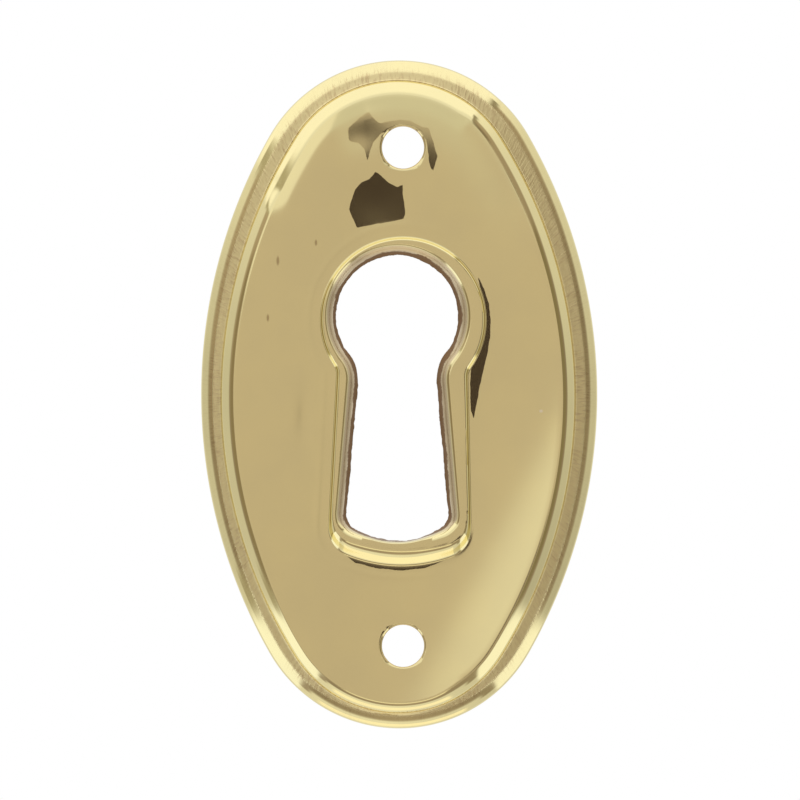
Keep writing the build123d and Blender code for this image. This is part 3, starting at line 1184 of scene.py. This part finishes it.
class ESCUTCHEON_OT_plate(bpy.types.Operator):
    """Add the pressed escutcheon plate, with its holes and its finish"""

    bl_idname = "escutcheon.plate"
    bl_label = "Plate"

    def execute(self, context):
        sizes = context.scene.escutcheon_sizes
        look = context.scene.escutcheon_look
        vertices, faces, finishes = build_plate(sizes)
        mesh = bpy.data.meshes.new("plate")
        mesh.from_pydata(vertices.tolist(), [], faces.tolist())
        plate = bpy.data.objects.new("plate", mesh)
        context.scene.collection.objects.link(plate)
        clouding = clouding_group()
        roughening = roughening_group()
        mesh.materials.append(polished_brass(sizes, look, clouding))
        mesh.materials.append(raw_brass(look, clouding, roughening))
        mesh.materials.append(cut_brass(look, roughening))
        mesh.polygons.foreach_set("material_index", finishes)
        mesh.shade_smooth()
        mesh.set_sharp_from_angle(angle=EDGE_ANGLE)
        store_finish_maps(mesh, sizes, vertices)
        if mesh.validate():
            raise RuntimeError("the plate's mesh had faults")
        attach(plate, "root")
        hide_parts(PLATE)
        return {"FINISHED"}


def studio_world():
    """The studio as light from every direction, by how far off the line to the camera it comes from.

    Straight behind the camera the room is plain. Round it lies a dimmer ring, and outside that the walls of
    a light tent. Lights, dark bars and the camera lie over them, each over its own range of azimuths and
    angles. The camera itself sees plain white.
    """
    world = bpy.data.worlds.new("studio")
    world.use_nodes = True
    tree = world.node_tree
    tree.nodes.clear()
    ray = wire(tree, "ShaderNodeTexCoord").outputs["Generated"]
    axes = wire(tree, "ShaderNodeSeparateXYZ", {0: ray}).outputs
    turn = value_of(tree, "DEGREES", value_of(tree, "ARCTAN2", axes[0], axes[2]))
    off = value_of(tree, "DEGREES", value_of(tree, "ARCCOSINE", product(tree, axes[1], -1.0)))
    dim = levels(tree, turn, DIM_LEVELS, DIM_TINT)
    wall = levels(tree, turn, WALL_LEVELS, WALL_TINT)
    colour = blend(tree, between(tree, off, *DIM_START), opaque(ROOM), dim)
    colour = blend(tree, between(tree, off, *WALL_START), colour, wall)
    for middle, half_width, inner, outer, soft, light in (*TENT, CAMERA):
        beside = value_of(tree, "PINGPONG", value_of(tree, "SUBTRACT", turn, middle), 180)
        across = between(tree, beside, half_width - EDGE_SOFTNESS, half_width + EDGE_SOFTNESS, 1, 0)
        beyond = between(tree, off, inner, inner + soft)
        before = between(tree, off, outer, outer + 4 * soft, 1, 0)
        mask = product(tree, product(tree, across, beyond), before)
        colour = blend(tree, mask, colour, opaque(light))
    colour = blend(tree, between(tree, off, *BEHIND_START), colour, opaque(BEHIND))
    light = wire(tree, "ShaderNodeBackground", {"Color": colour, "Strength": 1.0})
    white = wire(tree, "ShaderNodeBackground", {"Color": WHITE, "Strength": 1.0})
    seen = wire(tree, "ShaderNodeLightPath").outputs["Is Camera Ray"]
    surface = mixed_shader(tree, seen, light.outputs[0], white.outputs[0])
    wire(tree, "ShaderNodeOutputWorld", {"Surface": surface})
    bpy.context.scene.world = world


def levels(tree, turn, stops, tint):
    """A tinted grey by azimuth, from levels at stops that are given in rising order."""
    share = value_of(tree, "FRACT", value_of(tree, "ADD", value_of(tree, "DIVIDE", turn, 360), 1.0))
    ramp = wire(tree, "ShaderNodeValToRGB", {"Fac": share})
    elements = ramp.color_ramp.elements
    elements.remove(elements[1])
    elements[0].position = stops[0][0] / 360
    for degrees, _ in stops[1:]:
        elements.new(degrees / 360)
    for element, (_, level) in zip(elements, stops):
        element.color = opaque([level * part for part in tint])
    return ramp.outputs["Color"]


def lay_floor(setup):
    """A pale floor below the plate, white to the camera where nothing shades it, and in no reflection."""
    low = PLATE_LOW.z - setup.floor_drop
    corners = [
        (-FLOOR_REACH, -FLOOR_REACH, low),
        (FLOOR_REACH, -FLOOR_REACH, low),
        (FLOOR_REACH, FLOOR_BACK, low),
        (-FLOOR_REACH, FLOOR_BACK, low),
    ]
    mesh = bpy.data.meshes.new("floor")
    mesh.from_pydata(corners, [], [(0, 1, 2, 3)])
    floor = bpy.data.objects.new("floor", mesh)
    bpy.context.scene.collection.objects.link(floor)
    material, tree = new_material("pale_floor")
    plain = wire(tree, "ShaderNodeBsdfDiffuse", {"Color": FLOOR_COLOUR}).outputs[0]
    glow = wire(tree, "ShaderNodeEmission", {"Color": WHITE, "Strength": FLOOR_GLOW}).outputs[0]
    lifted = wire(tree, "ShaderNodeAddShader", {0: plain, 1: glow}).outputs[0]
    clear = wire(tree, "ShaderNodeBsdfTransparent").outputs[0]
    path = wire(tree, "ShaderNodeLightPath").outputs
    surface = mixed_shader(tree, path["Is Camera Ray"], plain, lifted)
    surface = mixed_shader(tree, path["Is Glossy Ray"], surface, clear)
    wire(tree, "ShaderNodeOutputMaterial", {"Surface": surface})
    mesh.materials.append(material)


def stand_camera(setup):
    """The camera, square on, so that the plate fills the frame as it does in the photograph."""
    data = bpy.data.cameras.new("camera")
    camera = bpy.data.objects.new("camera", data)
    bpy.context.scene.collection.objects.link(camera)
    data.lens = data.sensor_width * (setup.distance - FRAME_PLANE) / FRAME_HEIGHT
    data.clip_start = 0.01
    data.clip_end = 10
    camera.location = (FRAME_CENTRE[0], -setup.distance, FRAME_CENTRE[1])
    camera.rotation_euler = (math.pi / 2, 0, 0)
    bpy.context.scene.camera = camera


class ESCUTCHEON_OT_studio(bpy.types.Operator):
    """Set up the plain studio: light, floor and camera"""

    bl_idname = "escutcheon.studio"
    bl_label = "Studio"

    def execute(self, context):
        setup = context.scene.escutcheon_setup
        studio_world()
        lay_floor(setup)
        stand_camera(setup)
        context.scene.view_settings.view_transform = "Standard"
        return {"FINISHED"}


class ESCUTCHEON_PT_panel(bpy.types.Panel):
    """Sizes, finish and studio of the escutcheon"""

    bl_idname = "ESCUTCHEON_PT_panel"
    bl_label = "Keyhole escutcheon"
    bl_space_type = "VIEW_3D"
    bl_region_type = "UI"
    bl_category = "Escutcheon"

    def draw(self, context):
        for group in (
            context.scene.escutcheon_sizes,
            context.scene.escutcheon_look,
            context.scene.escutcheon_setup,
        ):
            box = self.layout.box()
            for name in group.__annotations__:
                box.prop(group, name)
        for operator in (ESCUTCHEON_OT_plate, ESCUTCHEON_OT_studio):
            self.layout.operator(operator.bl_idname)


CLASSES = (
    PlateSizes,
    BrassLook,
    StudioSetup,
    ESCUTCHEON_OT_plate,
    ESCUTCHEON_OT_studio,
    ESCUTCHEON_PT_panel,
)
GROUPS = {"escutcheon_sizes": PlateSizes, "escutcheon_look": BrassLook, "escutcheon_setup": StudioSetup}


def register():
    """Registers the classes and gives each scene its settings."""
    for item in CLASSES:
        bpy.utils.register_class(item)
    for name, group in GROUPS.items():
        setattr(bpy.types.Scene, name, bpy.props.PointerProperty(type=group))


def unregister():
    """Takes the settings and the classes away again."""
    for name in GROUPS:
        delattr(bpy.types.Scene, name)
    for item in reversed(CLASSES):
        bpy.utils.unregister_class(item)


def main():
    """Builds the plate and the studio."""
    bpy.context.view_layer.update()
    register()
    bpy.ops.escutcheon.plate()
    bpy.ops.escutcheon.studio()


if __name__ == "__main__":
    main()
